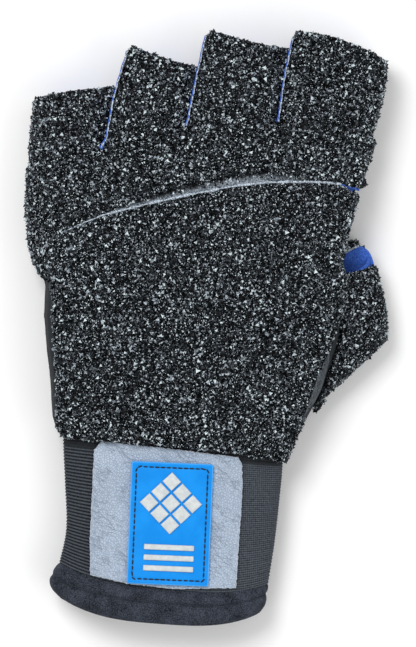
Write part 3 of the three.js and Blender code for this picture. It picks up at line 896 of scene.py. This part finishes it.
def bandFaces(rings, sides, closed):
    return [[i * sides + k, i * sides + (k + 1) % sides,
             (i + 1) % rings * sides + (k + 1) % sides, (i + 1) % rings * sides + k]
            for i in range(rings if closed else rings - 1) for k in range(sides)]


def sleeve(name, rows, s):  # a tube with a wall: steps as distance from its upper end, and inset in walls
    length = tubePlaces(rows)[-1]
    last = length - s["end"]
    outer = [(d, 0.0) for d in np.arange(s["end"], last, s["step"])]
    turn = [(last + 0.7 * s["end"], 0.1), (length, 0.3), (length, 0.7), (last, 1.0)]
    inner = [(d, 1.0) for d in np.linspace(last - 1, s["end"] + 1, 14)]
    back = [(s["end"], 1.0), (0.0, 0.7), (0.0, 0.3)]
    steps = outer + turn + inner + back
    middles = rowAt(rows, np.array([d for d, _ in steps]))
    rings = [ringOf(row, -inset * s["thick"], s["sides"]) for row, (_, inset) in zip(middles, steps)]
    piece = newPiece(name, np.vstack(rings) * mm, bandFaces(len(rings), s["sides"], True))
    store(piece.data, "along", np.repeat([length - d for d, _ in steps], s["sides"]))
    store(piece.data, "outside", np.repeat([float(inset == 0) for _, inset in steps], s["sides"]))
    faceOut(piece)
    return piece


def ribRecipe():  # raised ribs across the elastic, by the distance along it
    recipe = Recipe("ribs", Pitch="float", Height="float", Finish="material")
    ridge = recipe.stored("along").wave(recipe.given("Pitch")) ** 0.7
    lift = (ridge - 0.6) * recipe.stored("firm") * recipe.given("Height")
    push = recipe.node("ShaderNodeVectorMath", {"operation": "SCALE"},
                       {0: recipe.node("GeometryNodeInputNormal"), "Scale": lift})
    sockets = {"Geometry": recipe.given("Geometry"), "Offset": push}
    return recipe.close(recipe.node("GeometryNodeSetPosition", {}, sockets), True)


def paintThread(wire, position):
    twist = position.noise(0.3 * mm, 2)
    return {"Base Color": twist.mix((0.006, 0.009, 0.02, 1), (0.03, 0.037, 0.055, 1))}


def stitchRecipe():  # one bead of thread after another along a line of edges
    recipe = Recipe("stitches", Pitch="float", Length="float", Thread="float", Finish="material")
    path = recipe.node("GeometryNodeMeshToCurve", {}, {"Mesh": recipe.given("Geometry")})
    sockets = {"Curve": path, "Length": recipe.given("Pitch")}
    spaced = recipe.node("GeometryNodeResampleCurve", {"mode": "LENGTH"}, sockets)
    bead = recipe.node("GeometryNodeMeshUVSphere", {}, {"Segments": 8, "Rings": 5, "Radius": 0.5})
    heading = recipe.node("GeometryNodeInputTangent")
    lying = recipe.node("FunctionNodeAlignRotationToVector", {"axis": "X"}, {"Vector": heading})
    thread = recipe.given("Thread")
    long = recipe.given("Length") * recipe.chance(0.85, 1.1, 5)
    size = recipe.node("ShaderNodeCombineXYZ", {}, {"X": long, "Y": thread, "Z": thread * 0.8})
    sockets = {"Points": spaced, "Instance": bead, "Rotation": lying, "Scale": size}
    return recipe.close(recipe.node("GeometryNodeInstanceOnPoints", {}, sockets), True)


def stitchLine(name, points, s):  # round a closed line
    n = len(points)
    line = newPiece(name, points, [], [(k, (k + 1) % n) for k in range(n)])
    sizes = {key.capitalize(): value * mm for key, value in s.items()}
    stitchRecipe().run(line, **sizes, Finish=darkThread)
    handIn(line, "hem_fabric", None)


def paintElastic(wire, position):
    along = wire.stored("along")
    ridge = along.wave(elastic["pitch"])
    knit = position.stretch(1, 0.35, 1).noise(0.4 * mm, 2, 0.6)
    weave = position.part(0).wave(elastic["weave"] * mm) * along.wave(elastic["weave"])
    right = position.part(0).between(*elastic["ribbed"])
    tint = (0.85, 0.99, 1.2)
    # the grooves between the ribs are painted darker than the ridges: painted shade in the grooves
    ribbed = (0.6 * knit + 0.42 * ridge * ridge).between(0.2, 0.9).mix(grey(0.004), grey(0.093, tint))
    woven = (0.6 * knit + 0.45 * weave).between(0.22, 0.78).mix(grey(0.012), grey(0.115, tint))
    # the darker top band is the seam's band together with painted shade under the pad's edge
    shadedSeamBand = knit.mix(grey(0.004), grey(0.045))
    colour = along.between(*elastic["tape"]).mix(right.mix(ribbed, woven), shadedSeamBand)
    return {"Base Color": colour, "Normal": (knit * 0.5 + weave * 0.4).bump(0.2 * mm, 0.6)}


def paintHem(wire, position):
    nap = position.noise(0.42 * mm, 3, 0.7)
    worn = position.noise(6 * mm, 3)
    nearBlack, lighter = (0.003, 0.004, 0.006, 1), (0.07, 0.081, 0.109, 1)
    cloth = (0.75 * nap + 0.25 * worn).between(0.36, 0.68).mix(nearBlack, lighter)
    colour = (wire.stored("seam") * 0.4).mix(cloth, grey(0.008))
    return {"Base Color": colour, "Normal": nap.bump(0.22 * mm, 0.5)}


darkThread = finishOf("darkThread", paintThread, Roughness=0.7, Specular_IOR_Level=0.2)


def makeCuff():
    band = sleeve("cuffElastic", cuffRows, elastic)
    points = getPoints(band.data)
    firm = 1 - elastic["soft"] * rise(points[:, 0] / mm, *elastic["softFrom"])
    firm *= 1 + elastic["patchy"] * softNoise(points, elastic["patchSize"], 21)
    store(band.data, "firm", stored(band.data, "outside") * firm)
    webbing = finishOf("ribbedElastic", paintElastic, Roughness=0.85, Specular_IOR_Level=0.12)
    ribRecipe().run(band, Pitch=elastic["pitch"], Height=elastic["rib"] * mm, Finish=webbing)
    handIn(band, "elastic", webbing, "cuff_elastic")
    roll = sleeve("cuffHem", hemRows, hem)
    points, outside, along = getPoints(roll.data), stored(roll.data, "outside"), stored(roll.data, "along")
    seam = np.exp(-((along - hem["seam"]) / hem["seamWidth"]) ** 2) * outside
    store(roll.data, "seam", seam)
    puff = hem["puff"] * np.sin(np.clip(along / hem["seam"], 0, 1) * np.pi)
    gather = hem["gather"] * softNoise(points * (1, 0.3, 1), hem["gatherSize"], 31)
    gather += hem["ripple"] * softNoise(points, hem["rippleSize"], 33)
    swell = hem["fill"] * np.maximum(np.sin(rise(along, *hem["swell"]) * np.pi), 0) ** 0.7
    lift = (puff + gather + swell) * outside - hem["groove"] * seam
    points += getNormals(roll.data) * (lift * mm)[:, None]
    setPoints(roll.data, points)
    pressFlat(roll)
    suede = finishOf("hemSuede", paintHem, Roughness=0.95, Specular_IOR_Level=0.12)
    handIn(roll, "hem_fabric", suede, "cuff_hem")
    groove = rowAt(hemRows, np.array([tubePlaces(hemRows)[-1] - hem["seam"]]))[0]
    stitchLine("hemStitches", ringOf(groove, -0.15, 300) * mm, hem["stitch"])


makeCuff()
print("elastic and hem made")


# leather patch, label and relief

patch = {
    "corners": [
        (-42.3, -45.6), (-45.0, -49.2), (-46.7, -84.0), (-46.6, -99.0), (-31.4, -102.4), (-13.2, -104.5),
        (11.6, -104.2), (14.2, -64.0), (14.0, -54.6), (12.4, -52.0), (-16.0, -48.4),
    ],
    "cut": (62.0, 60.0), "area": 3230.0,  # width and length of the piece of leather, and its area
    "step": 0.5, "low": 0.25, "high": 1.5, "ragged": 0.3, "rim": [(0.3, 0), (0.05, 0.12), (0, 0.45)],
    "pebbles": (1.0, 0.07, 11), "swell": (18, 0.25, 5),  # size, height, seed
    "folds": [  # angle, size, depth, seed
        (-0.95, 4.2, 0.25, 3), (-0.55, 2.6, 0.16, 13), (-1.3, 3.2, 0.14, 23),
    ],
    "foldLength": 0.16, "foldWidth": 0.1, "wornSize": 12,  # worn: where the folds show
}
label = {
    "x": -14.7, "y": -78.5, "width": 32.6, "length": 48.8, "turn": -0.042, "corner": 1.1,
    "step": 0.55, "low": 1.5, "high": 3.15, "rim": [(0.5, 0), (0.2, 0.1), (0.03, 0.32), (0, 0.6)],
    "stitchIn": 2.1, "stitch": {"pitch": 2.3, "length": 2.25, "thread": 0.66},
    "raised": (0.14, 0.75, 0.35), "sunk": (0.16, 2.1, 0.4),  # height, distance from the edge, width
}
relief = {
    "y": 8.2, "half": 13.0, "gap": 1.2, "low": 3.0, "high": 4.0, "step": 0.5,
    "bars": [(-9.4, 20, 2.2), (-13.6, 20, 2.2), (-17.8, 20, 2.2)], "rim": [(0.4, 0), (0.15, 0.1), (0, 0.4)],
}


def cuffSheet(sides=240, rings=80):  # the elastic's smooth outer face, to seat things on
    rows = rowAt(cuffRows, np.linspace(0, tubePlaces(cuffRows)[-1], rings))
    made = [ringOf(row, 0, sides) for row in rows]
    made.append(made[-1] + made[-1] - made[-8])  # it goes on past the elastic's end
    return BVHTree.FromPolygons([Vector(p) for p in np.vstack(made) * mm], bandFaces(len(made), sides, False))


cuffFace = cuffSheet()


def seat(plan, level, ground=cuffFace):  # plan points in millimetres, lifted to a level above the ground
    out = []
    for (x, y), up in zip(plan, np.broadcast_to(level, len(plan))):
        hit, normal, _, _ = ground.ray_cast(Vector((x * mm, y * mm, 0.1)), Vector((0, 0, -1)))
        out.append((x * mm, y * mm, hit.z + up * mm / max(0.5, abs(normal.z))))
    return np.array(out)


def evenOutline(corners, step):
    out = []
    for a, b in sidesOf(np.asarray(corners, dtype=float)):
        count = max(1, round(np.linalg.norm(b - a) / step))
        out += [a + (b - a) * k / count for k in range(count)]
    return np.array(out)


def turnedIn(outline, by):
    step = np.roll(outline, -1, axis=0) - np.roll(outline, 1, axis=0)
    length = np.maximum(np.linalg.norm(step, axis=1), 1e-6)
    inward = np.column_stack([-step[:, 1], step[:, 0]]) / length[:, None]
    return outline + inward * np.asarray(by).reshape(-1, 1)


def farFrom(points, outline):
    best = np.full(len(points), np.inf)
    for a, b in sidesOf(outline):
        t = np.clip(((points - a) @ (b - a)) / max((b - a) @ (b - a), 1e-9), 0, 1)
        best = np.minimum(best, np.linalg.norm(points - a - t[:, None] * (b - a), axis=1))
    return best


def plate(name, outline, s, lift=None, seed=1, ground=cuffFace):  # outline counterclockwise; rim: inset, drop
    rim, step, low, high = s["rim"], s["step"], s["low"], s["high"]
    edge = turnedIn(outline, rim[0][0])
    (x0, y0), (x1, y1) = edge.min(axis=0), edge.max(axis=0)
    gx, gy = np.meshgrid(np.arange(x0, x1, step), np.arange(y0, y1, step * 0.87))
    gx = gx + (np.arange(gx.shape[0]) % 2)[:, None] * step / 2
    grid = np.column_stack([gx.ravel(), gy.ravel()])
    grid += np.random.default_rng(seed).uniform(-0.12, 0.12, grid.shape) * step
    grid = grid[insideOf(grid, edge)]
    grid = grid[farFrom(grid, edge) > 0.55 * step]
    n = len(edge)
    made = delaunay_2d_cdt([Vector(p) for p in np.vstack([edge, grid])], [], [list(range(n))], 1, 1e-7)
    plan = np.array([tuple(v) for v in made[0]])
    place = {source: k for k, sources in enumerate(made[3]) for source in sources}
    away = farFrom(plan, outline)
    verts = [seat(plan, high + (lift(plan, away) if lift else 0), ground)]
    aways, cuts = [away], [np.zeros(len(plan))]
    faces = [list(f) for f in made[2]]
    ring, count = [place[k] for k in range(n)], len(plan)
    for inset, drop in rim[1:] + [(rim[-1][0], high - low)]:
        verts.append(seat(turnedIn(outline, inset), high - drop, ground))
        aways.append(np.full(n, float(inset)))
        cuts.append(np.ones(n))
        faces += [[ring[k], count + k, count + (k + 1) % n, ring[(k + 1) % n]] for k in range(n)]
        ring, count = list(range(count, count + n)), count + n
    faces.append(ring[::-1])
    piece = newPiece(name, np.vstack(verts), faces)
    faceOut(piece)
    store(piece.data, "away", np.concatenate(aways))
    store(piece.data, "cut", np.concatenate(cuts))
    return piece


def onLabel(points):
    c, s = math.cos(label["turn"]), math.sin(label["turn"])
    p = np.asarray(points, dtype=float)
    return np.column_stack([label["x"] + p[:, 0] * c - p[:, 1] * s, label["y"] + p[:, 0] * s + p[:, 1] * c])


def roundedBox(width, height, radius, steps=5):
    out = []
    for i, j, quarter in ((1, 1, 0), (-1, 1, 1), (-1, -1, 2), (1, -1, 3)):
        for k in range(steps + 1):
            angle = (quarter + k / steps) * math.pi / 2
            out.append((i * (width / 2 - radius) + radius * math.cos(angle),
                        j * (height / 2 - radius) + radius * math.sin(angle)))
    return np.array(out)


def creases(plan, away):  # pebbles, and the slanting folds of worn leather
    near = flatPoints(plan)
    size, height, seed = patch["pebbles"]
    out = height * softNoise(near, size, seed)
    size, height, seed = patch["swell"]
    out += height * softNoise(near, size, seed) * rise(away, 0, 6)
    for angle, size, depth, seed in patch["folds"]:
        c, s = math.cos(angle), math.sin(angle)
        slanted = near @ np.array([[c, s, 0], [-s, c, 0], [0, 0, 1]])
        folds = softNoise(slanted * (patch["foldLength"], 1, 1), size, seed)
        worn = np.clip(softNoise(near, patch["wornSize"], seed + 7) * 2.4 + 0.4, 0, 1)
        out -= depth * np.exp(-(folds / patch["foldWidth"]) ** 2) * worn
    return out


def labelRelief(plan, away):  # a raised rim and a sunk line for the stitches
    rim, line = (height * np.exp(-((away - place) / width) ** 2)
                 for height, place, width in (label["raised"], label["sunk"]))
    return rim - line


def paintLeather(wire, position):
    pebble = position.cells(0.95 * mm, "DISTANCE_TO_EDGE").between(0.0, 0.2)
    pores = position.noise(0.5 * mm, 3, 0.65)
    broad = position.noise(16 * mm, 3)
    lines = []
    for size, turn in ((3.2 * mm, 0.75), (2.4 * mm, 1.2)):  # thin creases, where the noise crosses its middle
        swell = position.slant(turn, 3.5).noise(size, 2, 0.5)
        line = wire.math("ABSOLUTE", swell - 0.5).between(0.035, 0.0)
        lines.append(line * position.noise(8 * mm, 1).between(0.4, 0.6))
    folds = lines[0] + lines[1]
    tone = 0.36 * pores + 0.22 * pebble + 0.3 * broad - 0.22 * folds
    hide = tone.between(0.22, 0.66).mix((0.275, 0.335, 0.42, 1), (0.45, 0.535, 0.655, 1))
    flesh = pores.mix((0.42, 0.46, 0.52, 1), (0.76, 0.79, 0.84, 1))
    height = 0.4 * pebble + 0.45 * pores - 0.7 * folds
    return {"Base Color": wire.stored("cut").between(0.3, 0.9).mix(hide, flesh),
            "Normal": height.bump(0.34 * mm, 0.75), "Roughness": 0.5 + 0.2 * pores}


def paintLabel(wire, position):
    haze = position.noise(9 * mm, 3)
    face = haze.between(0.3, 0.7).mix((0.001, 0.235, 0.73, 1), (0.004, 0.275, 0.81, 1))
    # the label's edge is painted a lighter blue all round: a painted highlight on the bevel
    rim = wire.stored("away").between(0.6, 0.2)
    return {"Base Color": (rim * 0.75).mix(face, (0.12, 0.47, 0.98, 1)), "Roughness": 0.38 + 0.12 * haze,
            "Normal": position.noise(1.5 * mm, 3).bump(0.08 * mm, 0.5)}


def paintRelief(wire, position):
    smudge = position.noise(2.5 * mm, 4, 0.6)
    return {"Base Color": smudge.between(0.3, 0.75).mix((0.50, 0.54, 0.55, 1), (0.64, 0.67, 0.67, 1)),
            "Roughness": 0.4 + 0.2 * smudge, "Normal": position.noise(0.9 * mm, 2).bump(0.06 * mm, 0.5)}


def makePatch():
    outline = evenOutline(patch["corners"], patch["step"])
    near = flatPoints(outline)
    jag = patch["ragged"] * (softNoise(near, 1.3, 2) + 0.7 * softNoise(near, 0.6, 9))
    leather = plate("leatherPatch", turnedIn(outline, jag), patch, creases, seed=4)
    hide = finishOf("greyLeather", paintLeather, Specular_IOR_Level=0.25)
    handIn(leather, "leather", hide, "leather_patch")


def makeLabel():
    box = evenOutline(roundedBox(label["width"], label["length"], label["corner"]), label["step"])
    face = plate("labelPlate", onLabel(box), label, labelRelief, seed=5)
    handIn(face, "label_blue", finishOf("labelBlue", paintLabel, Specular_IOR_Level=0.15), "label_plate")
    white = finishOf("reliefWhite", paintRelief)
    step = relief["half"] / 3
    r = step - relief["gap"] / 2
    lattice = []
    for i, j in ((i, j) for i in (-1, 0, 1) for j in (-1, 0, 1)):
        cx, cy = (i + j) * step, relief["y"] + (i - j) * step
        corners = onLabel([(cx + r, cy), (cx, cy + r), (cx - r, cy), (cx, cy - r)])
        lattice.append(plate("lozenge", evenOutline(corners, relief["step"]), relief, seed=len(lattice)))
    handIn(joined("labelLattice", lattice), "label_relief", white, "label_lozenge")
    for k, (y, width, height) in enumerate(relief["bars"], start=1):
        outline = evenOutline(onLabel(roundedBox(width, height, 0.4, 3) + (0, y)), relief["step"])
        bar = plate(f"labelBar{k}", outline, relief, seed=19 + k)
        handIn(bar, "label_relief", white, f"label_bar_{k}")
    inset = 2 * label["stitchIn"]
    line = evenOutline(roundedBox(label["width"] - inset, label["length"] - inset, 0.8), 0.6)
    stitchLine("labelStitches", seat(onLabel(line), label["high"] - 0.02), label["stitch"])


makePatch()
makeLabel()
print("patch and label made")


# the lining that shows in the thumb's open end, and the light edge of the rubber beyond it

opening = {
    "corners": [
        (53.2, 20.2), (54.6, 20.7), (66.0, 23.6), (66.9, 24.4), (66.6, 26.2), (65.4, 29.2), (64.2, 30.7),
        (62.6, 31.8), (60.8, 32.0), (55.0, 29.0), (53.2, 28.2),
    ],
    "step": 0.45, "low": 9.5, "high": 11.0, "rim": [(0.4, 0), (0.1, 0.15), (0, 0.5)],
    "crown": 0.35, "ripple": 0.25, "rippleSize": 3,
    "edge": [(53.4, 28.6), (55.2, 29.6), (58.0, 31.1), (60.8, 32.4)], "edgeWidth": 1.0, "edgeHigh": 11.7,
}


def liningCrown(plan, away):
    uneven = softNoise(flatPoints(plan), opening["rippleSize"], 4)
    return opening["crown"] * rise(away, 0, 4) ** 2 + opening["ripple"] * uneven


def makeThumbOpening(s):
    corners = [(0.04, 0, 0), (0.08, 0, 0), (0.08, 0.05, 0), (0.04, 0.05, 0)]
    table = BVHTree.FromPolygons(corners, [(0, 1, 2, 3)])
    outline = smoothPath(s["corners"] + s["corners"][:1], s["step"])[:-1]
    fleece = plate("thumbOpening", outline, s, liningCrown, seed=31, ground=table)
    handIn(fleece, "lining", blueFinish)
    path = smoothPath(s["edge"], 0.4)
    places = np.arange(len(path)) * 0.4
    high = s["edgeHigh"] + 0.4 * lineNoise(places, 1.2, 41)
    wide = s["edgeWidth"] * (1 + 0.6 * lineNoise(places, 1.1, 42))
    handIn(curtain("thumbOpeningEdge", path, s["low"], high, wide), "lining", foamFinish)


makeThumbOpening(opening)
print("thumb opening made")


# plain tape over the joint of pad and thumb piece, and down the pad's other side

sideSeam = {
    "path": [(-60.6, 36.4), (-61.8, 34.4), (-62.6, 30.6), (-62.8, 25.8), (-62.6, 18.6), (-62.0, 13.8)],
    "step": 0.5, "width": (0.5, 1.4), "above": 0.85, "deep": 2.0,
}


def paintTape(wire, position):
    knit = position.stretch(1, 0.5, 1).noise(0.5 * mm, 3, 0.7)
    return {"Base Color": knit.between(0.3, 0.7).mix(grey(0.034), grey(0.14)),
            "Normal": knit.bump(0.2 * mm, 0.6)}


def makeTapes():
    below = ("fingerPanelTop", "backPad", "thumbPanel", "handFabric")
    ground = surfaceOf(*(bpy.data.objects[name].data for name in below))
    tape = finishOf("edgeTape", paintTape, Roughness=0.85, Specular_IOR_Level=0.12)
    outline = evenOutline(sideStrip["corners"], sideStrip["step"])
    handIn(plate("sideStrip", outline, sideStrip, seed=41, ground=ground), "fabric", tape)
    s = sideSeam
    plan = smoothPath(s["path"], s["step"])
    places = np.arange(len(plan)) * s["step"]
    high = evened(heightsUnder(ground, plan)) + s["above"]
    wide = np.linspace(*s["width"], len(plan)) * (1 + 0.4 * lineNoise(places, 2, 51))
    handIn(curtain("sideSeam", plan, high - s["deep"], high, wide), "fabric", tape)


makeTapes()
print("tapes made")

meshes = [thing for thing in bpy.context.scene.objects if thing.type == "MESH"]
print("triangles in all:", sum(triangles(piece) for piece in meshes if piece.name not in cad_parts))
